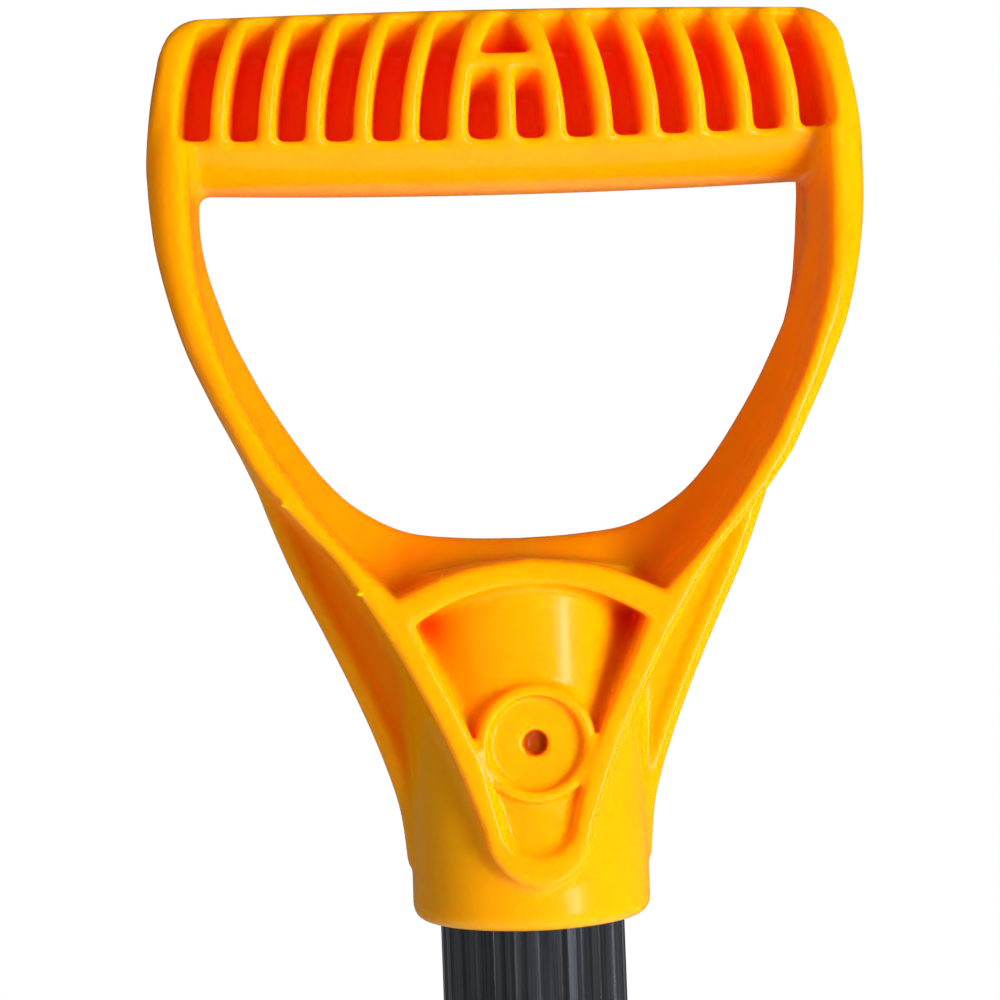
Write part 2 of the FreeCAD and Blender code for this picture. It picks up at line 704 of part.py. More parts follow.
for face, reverse in (("front", False), ("rear", True)):
    boss = new_sketch(grip, f"boss_{face}_outline", "XZ_Plane")
    add_circle(boss, "sizes.boss_radius", (0, size("boss_centre")))
    extrude(grip, f"boss_{face}", boss, "sizes.boss_face", reverse=reverse)
for face, reverse in (("front", True), ("rear", False)):
    side = 1 if face == "front" else -1
    floor = size("boss_face") - size("boss_recess_depth") if face == "front" else size("screw_seat")
    recess = new_sketch(grip, f"boss_recess_{face}_outline", "XZ_Plane", lift=side * floor)
    add_circle(recess, "sizes.boss_recess_radius", (0, size("boss_centre")))
    extrude(grip, f"boss_recess_{face}", recess, 5.0, cut=True, reverse=reverse)

# Slots cored into the bar from both faces, bowed towards the middle, either side of the A-shaped web.
bow = size("slot_bend_radius")
low, high = size("slot_low"), size("slot_high")


def bow_in(x, z):
    """Where a wall that starts upright at x and low has bent to at height z."""
    return x - bow + math.sqrt(bow**2 - (z - low) ** 2)


def slot(x, width, z_low, z_high):
    inner, outer = x - width / 2, x + width / 2
    z_mid = (z_low + z_high) / 2
    return [
        ("line", (bow_in(inner, z_low), z_low), (bow_in(outer, z_low), z_low)),
        ("arc", *[(bow_in(outer, z), z) for z in (z_low, z_mid, z_high)]),
        ("line", (bow_in(outer, z_high), z_high), (bow_in(inner, z_high), z_high)),
        ("arc", *[(bow_in(inner, z), z) for z in (z_high, z_mid, z_low)]),
    ]


def flipped(pieces):
    return [(kind, *[(-x, z) for x, z in points]) for kind, *points in pieces]


for face, reverse in (("front", True), ("rear", False)):
    side = 1 if face == "front" else -1
    slots = new_sketch(grip, f"slots_{face}_outline", "XZ_Plane", lift=side * size("slot_web_half"))
    windows = [slot(4.18, 5.45, low, 145.1)]
    for count in range(6):
        windows.append(slot(size("slot_first") + count * size("slot_pitch"), size("slot_width"), low, high))
    for window in windows:
        add_chain(slots, window)
        add_chain(slots, flipped(window))
    add_polygon(slots, [(-4.6, 148.4), (4.6, 148.4), (0.6, 155.2), (-0.6, 155.2)])
    extrude(grip, f"slots_{face}", slots, 22.0, cut=True, reverse=reverse)

bore = new_sketch(grip, "bore_outline")
add_circle(bore, "sizes.upper_tube_radius + 0.05")
extrude(grip, "bore", bore, "sizes.grip_bore_depth + 0.1", cut=True, reverse=True)

screw_way = new_sketch(grip, "screw_way_outline", "XZ_Plane")
add_circle(screw_way, "sizes.screw_radius + 0.05", (0, size("boss_centre")))
extrude(grip, "screw_way", screw_way, 30.0, cut=True)
pilot = new_sketch(grip, "pilot_outline", "XZ_Plane")
add_circle(pilot, "sizes.screw_radius + 0.05", (0, size("boss_centre")))
extrude(grip, "pilot", pilot, 18.55, cut=True, reverse=True)
dimple = new_sketch(grip, "dimple_outline", "XZ_Plane", lift=19.4)
add_circle(dimple, "sizes.dimple_radius", (0, size("boss_centre")))
extrude(grip, "dimple", dimple, 8.0, cut=True, reverse=True)
place(grip, "sizes.grip_foot")

# ---------------------------------------------------------------- grip screw and washer

seat = size("screw_seat")
washer = new_body("grip_washer")
parts.append(washer)
washer_outline = new_sketch(washer, "washer_outline", "XZ_Plane", lift=-seat - 0.02)
add_circle(washer_outline, "6.5")
add_circle(washer_outline, "sizes.screw_radius + 0.1")
extrude(washer, "washer", washer_outline, 1.0, reverse=True)
place(washer, "sizes.grip_foot + sizes.boss_centre")

grip_screw = new_body("grip_screw")
parts.append(grip_screw)
shank = new_sketch(grip_screw, "shank_outline", "XZ_Plane", lift=18.0)
add_circle(shank, "sizes.screw_radius")
extrude(grip_screw, "shank", shank, seat + 1.04 + 18.0, reverse=True)
head = new_sketch(grip_screw, "head_outline", "XZ_Plane", lift=-seat - 1.04)
add_circle(head, "4.7")
extrude(grip_screw, "head", head, 2.8, reverse=True)
dress(grip_screw, "head_edge", "Fillet", 1.3,
      lambda edge: edge.BoundBox.YMin > seat + 3.5)
socket_recess = new_sketch(grip_screw, "key_recess_outline", "XZ_Plane", lift=-seat - 2.3)
add_polygon(socket_recess, [
    (1.9 * math.cos(math.radians(60 * n)), 1.9 * math.sin(math.radians(60 * n))) for n in range(6)
])
extrude(grip_screw, "key_recess", socket_recess, 4.0, cut=True)
place(grip_screw, "sizes.grip_foot + sizes.boss_centre")

# ---------------------------------------------------------------- check and export

doc.recompute()
for item in doc.Objects:
    if "Invalid" in item.State or "Error" in item.State:
        raise RuntimeError(f"{item.Label} did not build: {item.State}")
for item in parts:
    shape = item.Shape
    if shape.isNull() or not shape.isValid() or not shape.Solids:
        raise RuntimeError(f"{item.Label} is not a valid solid")
    shape.exportStep(f"parts/{item.Label}.step")
    box = shape.BoundBox
    print(f"{item.Label:20s} solids {len(shape.Solids)}  volume {shape.Volume / 1000:9.2f} cm3  "
          f"x {box.XMin:7.2f} {box.XMax:7.2f}  y {box.YMin:7.2f} {box.YMax:7.2f}  "
          f"z {box.ZMin:7.2f} {box.ZMax:7.2f}")
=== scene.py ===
import math

import bpy
import numpy as np
from mathutils import Matrix, Vector


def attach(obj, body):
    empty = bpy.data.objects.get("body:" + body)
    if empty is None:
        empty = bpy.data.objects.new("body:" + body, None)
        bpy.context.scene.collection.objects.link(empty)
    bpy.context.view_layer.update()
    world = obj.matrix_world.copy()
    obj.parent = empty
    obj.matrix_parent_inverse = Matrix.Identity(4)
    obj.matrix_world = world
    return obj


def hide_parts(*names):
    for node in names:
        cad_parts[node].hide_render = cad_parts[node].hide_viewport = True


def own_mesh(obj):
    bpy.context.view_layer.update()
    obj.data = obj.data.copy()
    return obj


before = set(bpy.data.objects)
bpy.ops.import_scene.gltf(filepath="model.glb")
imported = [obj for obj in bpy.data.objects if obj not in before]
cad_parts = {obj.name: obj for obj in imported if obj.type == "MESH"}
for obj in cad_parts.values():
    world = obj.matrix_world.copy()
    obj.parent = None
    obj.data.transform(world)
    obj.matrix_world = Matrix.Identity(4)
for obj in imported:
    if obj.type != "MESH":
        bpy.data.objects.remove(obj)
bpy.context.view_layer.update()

# Avalanche shovel. The grip's own frame is in millimetres: x to the right, y to the rear,
# z up from the rim of its collar. GRIP_AT is that frame's origin in the part's frame, in metres.
GRIP_AT = Vector((0.0, 0.01285, 0.670))


# ---------------------------------------------------------------- smooth solid modelling


def smooth_min(a, b, width):
    """Union of two solids' distances, with a fillet about width across."""
    near = np.maximum(width - np.abs(a - b), 0.0) / width
    return np.minimum(a, b) - near * near * width * 0.25


def smooth_max(a, b, width):
    """Intersection of two solids' distances, with the edge rounded about width across."""
    return -smooth_min(-a, -b, width)


def smooth_step(low, high, value):
    t = np.clip((value - low) / (high - low), 0.0, 1.0)
    return t * t * (3 - 2 * t)


def curve_through(points, step=0.4):
    """Evenly dense points on a centripetal spline through the given ones."""
    p = np.array(points, float)
    p = np.vstack([2 * p[0] - p[1], p, 2 * p[-1] - p[-2]])
    found = []
    for a, b, c, d in zip(p, p[1:], p[2:], p[3:]):
        t0, t1 = 0.0, math.sqrt(np.linalg.norm(b - a))
        t2 = t1 + math.sqrt(np.linalg.norm(c - b))
        t3 = t2 + math.sqrt(np.linalg.norm(d - c))
        count = max(2, int(np.linalg.norm(c - b) / step))
        t = np.linspace(t1, t2, count, endpoint=False)[:, None]
        ab = (t1 - t) / (t1 - t0) * a + (t - t0) / (t1 - t0) * b
        bc = (t2 - t) / (t2 - t1) * b + (t - t1) / (t2 - t1) * c
        cd = (t3 - t) / (t3 - t2) * c + (t - t2) / (t3 - t2) * d
        abc = (t2 - t) / (t2 - t0) * ab + (t - t0) / (t2 - t0) * bc
        bcd = (t3 - t) / (t3 - t1) * bc + (t - t1) / (t3 - t1) * cd
        found.append((t2 - t) / (t2 - t1) * abc + (t - t1) / (t2 - t1) * bcd)
    return np.vstack(found + [p[-2][None]])


def arc_through(a, middle, b, count=24):
    """Points on the circle through three points, from the first to the last."""
    (ax, ay), (mx, my), (bx, by) = a, middle, b
    d = 2 * (ax * (my - by) + mx * (by - ay) + bx * (ay - my))
    aa, mm, bb = ax**2 + ay**2, mx**2 + my**2, bx**2 + by**2
    cx = (aa * (my - by) + mm * (by - ay) + bb * (ay - my)) / d
    cy = (aa * (bx - mx) + mm * (ax - bx) + bb * (mx - ax)) / d
    radius = math.hypot(ax - cx, ay - cy)
    start, via, end = (math.atan2(y - cy, x - cx) for x, y in (a, middle, b))
    full = 2 * math.pi
    if (via - start) % full > (end - start) % full:
        turn = (end - start) % full - full
    else:
        turn = (end - start) % full
    angle = np.linspace(start, start + turn, count)
    return np.stack([cx + radius * np.cos(angle), cy + radius * np.sin(angle)], 1)


class Outline:
    """Signed distance to a shape that is symmetric about x = 0, inside negative.

    It is given by its right half, from the axis round to the axis. The distance is worked out
    once on a fine grid, then read back with smooth cubic interpolation.
    """

    STEP = 0.5
    LOW = np.array([-2.0, -8.0])
    COUNT = (140, 372)

    def __init__(self, *pieces):
        line = np.vstack(pieces)
        a, b = line[:-1], line[1:]
        keep = np.linalg.norm(b - a, axis=1) > 1e-9
        a, b = a[keep], b[keep]
        axes = [self.LOW[i] + self.STEP * np.arange(self.COUNT[i]) for i in (0, 1)]
        x, z = np.meshgrid(*axes, indexing="ij")
        best = np.full(x.shape, 1e9)
        inside = np.zeros(x.shape, bool)
        for (ax, az), (bx, bz) in zip(a, b):
            t = ((x - ax) * (bx - ax) + (z - az) * (bz - az)) / ((bx - ax) ** 2 + (bz - az) ** 2)
            t = np.clip(t, 0, 1)
            best = np.minimum(best, (x - ax - t * (bx - ax)) ** 2 + (z - az - t * (bz - az)) ** 2)
            if az != bz:
                crosses = (az > z) != (bz > z)
                inside ^= crosses & (x < ax + (z - az) * (bx - ax) / (bz - az))
        self.table = np.where(inside, -1.0, 1.0) * np.sqrt(best)

    def __call__(self, x, z):
        u = (x - self.LOW[0]) / self.STEP
        v = (z - self.LOW[1]) / self.STEP
        i = np.clip(np.floor(u).astype(int), 1, self.COUNT[0] - 3)
        j = np.clip(np.floor(v).astype(int), 1, self.COUNT[1] - 3)
        wu, wv = self.weights(u - i), self.weights(v - j)
        total = 0.0
        for m in range(4):
            row = 0.0
            for n in range(4):
                row = row + wv[n] * self.table[i + m - 1, j + n - 1]
            total = total + wu[m] * row
        return total

    @staticmethod
    def weights(t):
        """Uniform cubic B-spline weights, which smooth the sampled distance a little."""
        s = 1 - t
        return (s**3 / 6, (3 * t**3 - 6 * t**2 + 4) / 6, (3 * s**3 - 6 * s**2 + 4) / 6, t**3 / 6)


# ---------------------------------------------------------------- the D grip's shape

DEPTH = 22.6  # from the parting plane to the faces of the yoke
# right half of each outline, as (x, z)
ARM_OUTSIDE = [(20.9, 10), (22.6, 20), (25.8, 30), (29.9, 40), (34.5, 50), (39.3, 60), (43.3, 70),
               (46.8, 80), (51.5, 90), (55.9, 100), (58.9, 110), (60.9, 120), (61.6, 130),
               (60.9, 140), (59.8, 149)]
SHOULDER = ((59.8, 149), (58.0, 154.7), (52.8, 158.5))
FAN_OUTSIDE = [(9.2, 17.2), (12.8, 27), (15.8, 34.3), (21.5, 45.5), (25.5, 52.4), (28.5, 57.3),
               (32.5, 63.3), (36.5, 67.6), (40.4, 72), (45.4, 78.6)]
FAN_INSIDE = [(6, 18.2), (8.4, 27), (11.2, 34.3), (16.6, 45.5), (19.3, 51.7)]
MIDDLE_SILL = [(0, 65.5), (10, 65.9), (20, 67.4)]
MIDDLE_SIDE = [(20, 67.4), (28.4, 72), (33.5, 77), (37.2, 82), (40.5, 87), (43.5, 92), (46.1, 97),
               (48.5, 102), (50.3, 107), (51.9, 112), (53.0, 117), (53.4, 121),
               (53.4, 126)]
FACE_SILL = [(0, 62.1), (11.5, 60.5), (22.4, 56)]
FACE_SIDE = [(22.4, 56), (30.8, 65), (36, 71.5), (39.6, 77), (42.3, 81), (45.2, 86.5), (48, 92),
             (50.2, 98), (52, 104), (53.3, 110), (53.9, 116.5), (54.4, 126)]
TOP, CLEAR = 158.5, 172.0  # the opening is cut clear past the top, then the bar is put in
ARMS_FROM = 8  # from this point of ARM_OUTSIDE up, the arm is as wide as its web
# specks of moulding flash left on the front edges, as (x, distance in front of the axis, z)
FLASH = [(-40.2, 21.0, 72.2), (-28.4, 22.2, 57.2), (-14.2, 22.1, 59.6), (-1.7, 12.2, 146.6)]
FLASH_RADIUS = 0.6


def to_axis(x, z):
    """A level run from (x, z) to beyond the axis of symmetry."""
    return np.array([(x, z), (-3.0, z)], float)


def from_axis(x, z):
    return to_axis(x, z)[::-1]


arm_outline = Outline(
    from_axis(0, 7.6), arc_through((0, 7.6), (6.2, 10.4), FAN_OUTSIDE[0]),
    curve_through(FAN_OUTSIDE), curve_through(ARM_OUTSIDE[ARMS_FROM:]), arc_through(*SHOULDER),
    to_axis(SHOULDER[2][0], TOP),
)
web_outline = Outline(
    from_axis(ARM_OUTSIDE[0][0], 10), curve_through(ARM_OUTSIDE), arc_through(*SHOULDER),
    to_axis(SHOULDER[2][0], TOP),
)
opening_middle = Outline(
    from_axis(0, 65.5), curve_through(MIDDLE_SILL + MIDDLE_SIDE[1:]), to_axis(53.4, CLEAR),
)
opening_face = Outline(
    from_axis(0, 62.1), curve_through(FACE_SILL), curve_through(FACE_SIDE), to_axis(54.4, CLEAR),
)
fan_inside = Outline(
    from_axis(0, 12.6), arc_through((0, 12.6), (4.2, 14.4), FAN_INSIDE[0]),
    curve_through(FAN_INSIDE), arc_through(FAN_INSIDE[-1], (10.0, 56.2), (0, 57.8)),
    to_axis(0, 57.8),
)

CURVE_AT = 55  # the bar's edges curve as the square of x; how far is given for this x
BAR_HALF_DEPTH, BAR_HALF_HEIGHT, BAR_MIDDLE = 12.5, 16.35, 142.15
# each half of the bar has one window next to the axis and six slots outside it
SLOT_FIRST, SLOT_PITCH, SLOT_HALF_WIDTH, SLOTS_EACH_SIDE = 12.66, 8.1, 2.62, 6
SLOT_BOW, BOW_AT = 58.4, 133  # the slots' bend, as a radius, and where they are furthest out
SLOT_WEB = 1.2  # half the thickness of the web left between front and rear slots
SLOT_FLOOR, SLOT_CEILING = 133.75, 150.3
WINDOW_INNER, WINDOW_OUTER, WINDOW_CEILING, PEAK_FLOOR = 1.4, 6.95, 142.6, 148.3
SCREW_UP, BOSS_RADIUS, BOSS_FACE = 31.4, 10.0, 22.0
BORE_RADIUS, BORE_TOP, COLLAR_TOP = 16.05, 57.0, 60


def slot_shapes(x, y, z):
    """Distance to the nearest of the slots and windows cored into the cross bar's face."""
    low = SLOT_FLOOR + 0.9 * (x / CURVE_AT) ** 2
    height = np.clip(z - BOW_AT, -20, 40)
    bow = SLOT_BOW - np.sqrt(SLOT_BOW**2 - height**2)
    unbent = x + bow
    ceiling = (z - SLOT_CEILING - 0.74 * (y - SLOT_WEB)) * 0.8
    count = np.clip(np.round((unbent - SLOT_FIRST) / SLOT_PITCH), 0, SLOTS_EACH_SIDE - 1)
    nearest = SLOT_FIRST + SLOT_PITCH * count
    slots = smooth_max(np.abs(unbent - nearest) - SLOT_HALF_WIDTH, low - z, 1.6)
    slots = smooth_max(slots, ceiling, 1.2)
    windows = smooth_max(np.maximum(WINDOW_INNER - x, unbent - WINDOW_OUTER), low - z, 2.0)
    windows = smooth_max(windows, (z - WINDOW_CEILING - 0.3 * (y - SLOT_WEB)) * 0.95, 1.6)
    slant = (x - 4.85 + (z - PEAK_FLOOR) * 0.5) * 0.894
    peak = smooth_max(smooth_max(slant, PEAK_FLOOR - z, 1.6), ceiling, 1.2)
    return np.minimum(np.minimum(slots, windows), peak)


def hand_opening(x, y, z):
    """The web goes on into the opening as a bead, and the walls flare from it to both faces."""
    flare = 0.15 * np.clip(y / DEPTH, 0, 1) + 0.85 * smooth_step(0.6, 8.4, y)
    return opening_middle(x, z) * (1 - flare) + opening_face(x, z) * flare


def grip_distance(x, y, z, with_uncut=False):
    """The whole moulding as one signed distance in millimetres, inside negative.

    with_uncut also gives the distance to the moulding before its recesses were cut.
    """
    flash = np.inf
    for across, forward, up in FLASH:
        away = np.sqrt((x - across) ** 2 + (y + forward) ** 2 + (z - up) ** 2)
        flash = np.minimum(flash, away - FLASH_RADIUS)
    x, rear = np.abs(x), y > 0
    y = np.abs(y)
    fall = (x / CURVE_AT) ** 2
    lifted = z + 0.8 * fall * smooth_step(120, 150, z)

    # arms, yoke and the fan's walls: one tall plate, deepest at the fan, rounded over at the top
    depth = DEPTH - 4.0 * smooth_step(40, 112, z) - 3.0 * smooth_step(100, 134, z)
    side = (np.sqrt((y / depth) ** 2 + (np.maximum(z - 134, 0) / 24.6) ** 2) - 1) * depth
    outer_round = 1.6 + 2.4 * smooth_step(72, 96, z) + 5.0 * smooth_step(98, 136, z)
    arm = arm_outline(x, lifted)
    body = smooth_max(arm, side, outer_round)

    # thin web on the parting plane, with a rounded bead as its edge
    edge = web_outline(x, lifted)
    bead = 1.7 + 1.1 * smooth_step(-4.6, -2.0, edge) - 6.0 * smooth_step(112, 142, z)
    web = smooth_max(edge, y - bead, 3.0)
    body = smooth_min(body, web, 2.6)

    body = smooth_max(body, -hand_opening(x, y, z), 1.5 + 1.0 * smooth_step(88, 118, z))

    uncut = body
    # fan recess on both faces
    fan = smooth_max(fan_inside(x, z), 2.4 - y, 0.6)
    body = smooth_max(body, -fan, 1.4)

    # cross bar: an upright oval from arm to arm
    tall, above = BAR_HALF_HEIGHT - 0.95 * fall, z - BAR_MIDDLE - 0.15 * fall
    power = 2.1 + 0.7 * smooth_step(-4, 4, above)
    across, up = y / BAR_HALF_DEPTH, np.abs(above) / tall
    oval = np.maximum(across**power + up**power, 1e-4) ** (1 / power)
    slope = np.hypot(across ** (power - 1) / BAR_HALF_DEPTH, up ** (power - 1) / tall)
    slope = slope / oval ** (power - 1)
    bar = (oval - 1) / np.maximum(slope, 0.02)
    bar = smooth_max(bar, arm + 1.5, 1.5)
    body = smooth_min(body, bar, 2.4)
    uncut = np.minimum(uncut, bar)

    # slots, narrowing a little with depth, down to a thin web
    draft = np.maximum(BAR_HALF_DEPTH - y, 0) * 0.04
    slots = smooth_max(slot_shapes(x, y, z) + draft, SLOT_WEB - y, 0.8)
    body = smooth_max(body, -slots, 1.5)

    # collar round the tube
    around = np.hypot(x, y)
    collar = around - (20.65 - 0.65 * smooth_step(0, COLLAR_TOP, z))
    collar = smooth_max(collar, z - COLLAR_TOP, 1.0)
    body = smooth_min(body, collar, 2.2)
    body = smooth_max(body, -z, 3.0)
    body = np.where(z < 30, np.maximum(body, -z), body)

    # boss over the screw, dished in front, sunk deeper behind for the washer
    from_screw = np.hypot(x, z - SCREW_UP)
    boss = smooth_max(from_screw - BOSS_RADIUS, y - BOSS_FACE, 1.6)
    body = smooth_min(body, boss, 0.9)
    dish = np.where(rear, 18.0, 19.9)
    body = smooth_max(body, -smooth_max(from_screw - 7.9, dish - y, 0.7), 1.1)
    dimple = np.where(rear, from_screw - 2.55, smooth_max(from_screw - 2.1, 18.2 - y, 1.2))
    body = smooth_max(body, -dimple, 0.4)

    # bore for the tube
    bore = smooth_max(around - BORE_RADIUS, z - BORE_TOP, 0.5)
    body = smooth_min(smooth_max(body, -bore, 0.5), flash, 0.7)
    return (body, uncut) if with_uncut else body


def painted_recess_shade(points):
    """How much painted shade each point gets: 0 outside, 1 deep in a recess, 2 in the screw's dimple.

    The painted shade grows with how far a point lies in a recess, and the hand opening's walls get a
    third of it.
    """
    across, rear, up = np.abs(points.T[0]), points.T[1], points.T[2]
    # painted shade: grows with how far a point lies below the moulding before its recesses were cut
    recess_shade = smooth_step(0.6, 7.0, -grip_distance(*points.T, with_uncut=True)[1])
    # painted shade in the fan recess: only its deep side pockets, where the rim shades the cylinder
    pocket_shade = 0.95 * smooth_step(12, 17, across) * smooth_step(45, 52, up)
    recess_shade *= np.where(up > 90, 1 - 0.35 * smooth_step(150, 136, up), pocket_shade)
    # painted shade on the hand opening's walls, a third as strong, fading out below the bar
    wall_shade = smooth_step(0.9, 0.2, np.abs(hand_opening(across, np.abs(rear), up)))
    recess_shade = np.maximum(recess_shade, 0.34 * wall_shade * smooth_step(134, 122, up))
    # the screw's dimple gets 2, which the material paints dark as the hole's shadow
    dimple = smooth_step(2.3, 1.9, np.hypot(across, up - SCREW_UP)) * (rear < 0)
    return np.maximum(np.clip(recess_shade, 0, 1), 2 * dimple)


def grip_vertices_to_surface(points, rounds=3, nudge=0.02, longest=0.6):
    """Moves points along the distance's gradient until they lie on the surface."""
    for _ in range(rounds):
        value = grip_distance(*points.T)
        slope = np.stack([
            (grip_distance(*(points + shift).T) - value) / nudge
            for shift in np.eye(3) * nudge
        ], 1)
        length = np.maximum((slope**2).sum(1), 0.25)
        move = slope * (value / length)[:, None]
        points = points - np.clip(move, -longest, longest)
    return points


def surface_mesh(distance, low, high, step):
    """Vertices and quads of the zero surface of a distance, one vertex for each crossed cell."""
    axes = [np.arange(low[i], high[i] + step, step) for i in range(3)]
    x, y, z = np.meshgrid(*axes, indexing="ij", sparse=True)
    slabs = []
    for start in range(0, len(axes[0]), 16):
        slab = distance(*np.broadcast_arrays(x[start:start + 16], y, z))
        slabs.append(slab.astype(np.float32))
    field = np.concatenate(slabs, 0)
    inside = field < 0
    shape = np.array(field.shape) - 1
    corners = [np.array(((n >> 2) & 1, (n >> 1) & 1, n & 1)) for n in range(8)]
    count = np.zeros(shape, np.int8)
    for c in corners:
        count += inside[c[0]:c[0] + shape[0], c[1]:c[1] + shape[1], c[2]:c[2] + shape[2]]
    cells = np.argwhere((count > 0) & (count < 8))
    number = np.full(shape, -1, np.int64)
    number[tuple(cells.T)] = np.arange(len(cells))
    total = np.zeros((len(cells), 3))
    crossings = np.zeros(len(cells))
    for a in corners:
        for axis in range(3):
            if a[axis]:
                continue
            b = a.copy()
            b[axis] = 1
            fa = field[tuple((cells + a).T)]
            fb = field[tuple((cells + b).T)]
            crossed = (fa < 0) != (fb < 0)
            share = np.where(crossed, fa / np.where(crossed, fa - fb, 1), 0)
            at = a + share[:, None] * (b - a)
            total += np.where(crossed[:, None], at, 0)
            crossings += crossed
    points = (cells + total / crossings[:, None]) * step + np.array(low)
    quads = []
    for axis in range(3):
        u, v = (axis + 1) % 3, (axis + 2) % 3
        start = [slice(1, -1)] * 3
        start[axis] = slice(0, -1)
        ahead = list(start)
        ahead[axis] = slice(1, None)
        here, there = inside[tuple(start)], inside[tuple(ahead)]
        for mask, flip in ((here & ~there, False), (~here & there, True)):
            at = np.argwhere(mask)
            at += [0 if i == axis else 1 for i in range(3)]
            ring = []
            for du, dv in ((-1, -1), (0, -1), (0, 0), (-1, 0)):
                cell = at.copy()
                cell[:, u] += du
                cell[:, v] += dv
                ring.append(number[tuple(cell.T)])
            quads.append(np.stack(ring[::-1] if flip else ring, 1))
    return points, np.concatenate(quads)


def mesh_object(name, points, faces, body, replaced=()):
    """A smooth mesh piece in the part's frame, in metres, that rides on a CAD body."""
    mesh = bpy.data.meshes.new(name)
    mesh.from_pydata([tuple(p) for p in points], [], [tuple(f) for f in faces])
    mesh.shade_smooth()
    piece = bpy.data.objects.new(name, mesh)
    bpy.context.scene.collection.objects.link(piece)
    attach(piece, body)
    if replaced:
        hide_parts(*replaced)
    return piece


def build_grip():
    step = 0.89
    low, high = (-64.4, -24.2, -1.5), (64.4, 24.2, 160.2)
    points, quads = surface_mesh(grip_distance, low, high, step)
    points = grip_vertices_to_surface(points)
    metres = points * 0.001 + np.array(GRIP_AT)
    piece = mesh_object("grip_moulding", metres, quads, "upper_shaft", ["d_grip"])
    # stores the amount of painted shade for each vertex, which the grip's material reads
    depth = piece.data.attributes.new("recess_shade", "FLOAT", "POINT")
    depth.data.foreach_set("value", painted_recess_shade(points).astype(np.float32))
    return piece


grip = build_grip()


# ---------------------------------------------------------------- snap clips

STRIP_WIDTH, STRIP_THICKNESS, STRIP_CORNER = 8.0, 0.8, 0.16
BORE_CLEARANCE = 0.1  # between the strip's corners and the tube
BUTTON_RADIUS, BUTTON_ROUND = 4.0, 1.6
CROWN = 0.15  # how far the button's end stands up in the middle


def swept_strip(path, width, thickness, corner):
    """A closed flat strip along a path in the plane x = 0, given as (y, z) points."""
    w, t = width / 2, thickness / 2
    outline = [(w, t - corner), (w - corner, t), (corner - w, t), (-w, t - corner),
               (-w, corner - t), (corner - w, -t), (w - corner, -t), (w, corner - t)]
    along = np.gradient(path, axis=0)
    along /= np.linalg.norm(along, axis=1)[:, None]
    points, faces = [], []
    for (y, z), (dy, dz) in zip(path, along):
        points += [(across, y + out * dz, z - out * dy) for across, out in outline]
    n = len(outline)
    for ring in range(len(path) - 1):
        for k in range(n):
            a, b = ring * n + k, ring * n + (k + 1) % n
            faces.append((a, a + n, b + n, b))
    last = (len(path) - 1) * n
    faces.append(tuple(range(n)))
    faces.append(tuple(last + k for k in reversed(range(n))))
    return points, faces


def turned_button(profile, count):
    """A cap turned about the y axis from (radius, y) points, open at its root."""
    points, faces = [], []
    for radius, y in profile:
        angles = np.arange(count) * (2 * math.pi / count)
        points += [(radius * math.cos(a), y, radius * math.sin(a)) for a in angles]
    for ring in range(len(profile) - 1):
        for k in range(count):
            a, b = ring * count + k, ring * count + (k + 1) % count
            faces.append((a, a + count, b + count, b))
    last = (len(profile) - 1) * count
    faces.append(tuple(range(last, last + count)))
    faces.append(tuple(reversed(range(count))))
    return points, faces


def build_clip(name, node, body, bore, button_top, height, side):
    """A spring strip bent into a U inside its tube, with the button drawn out of one leg.

    bore is the tube's inner radius and button_top the button's end, both from the shaft's axis.
    """
    reach = math.sqrt((bore - BORE_CLEARANCE) ** 2 - (STRIP_WIDTH / 2) ** 2)
    centre, turn, foot = reach - STRIP_THICKNESS / 2, side * 11.0, -side * 7.0
    leg = [(centre, foot + (turn - foot) * t) for t in np.linspace(0, 1, 12, endpoint=False)]
    bend = [(centre * math.cos(a), turn + side * centre * math.sin(a))
            for a in np.linspace(0, math.pi, 41)]
    far_leg = [(-y, z) for y, z in reversed(leg)]
    path = np.array(leg + bend + far_leg)
    strip_points, strip_faces = swept_strip(path, STRIP_WIDTH, STRIP_THICKNESS, STRIP_CORNER)
    flat = BUTTON_RADIUS - BUTTON_ROUND
    round_at = button_top - CROWN - BUTTON_ROUND
    fillet = [(flat + BUTTON_ROUND * math.cos(a), round_at + BUTTON_ROUND * math.sin(a))
              for a in np.linspace(0, math.pi / 2, 9)]
    crown = [(flat * share, button_top - CROWN * share**2) for share in (0.75, 0.5, 0.25, 0.05)]
    root = [(BUTTON_RADIUS, centre), (3.96, reach + 0.25), (3.93, reach + 0.9)]
    cap_points, cap_faces = turned_button(root + fillet + crown, 48)
    first = len(strip_points)
    points = np.array(strip_points + cap_points) * 0.001
    points += np.array((0, GRIP_AT.y, height * 0.001))
    faces = strip_faces + [tuple(first + k for k in face) for face in cap_faces]
    piece = mesh_object(name, points, faces, body, [node])
    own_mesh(piece)
    return piece


clips = [
    build_clip("lower_button_clip", "lower_snap_button", "lower_button",
               bore=16.5, button_top=23.5, height=215.0, side=-1),
    build_clip("upper_button_clip", "upper_snap_button", "upper_button",
               bore=14.2, button_top=21.0, height=447.0, side=1),
]


# ---------------------------------------------------------------- materials


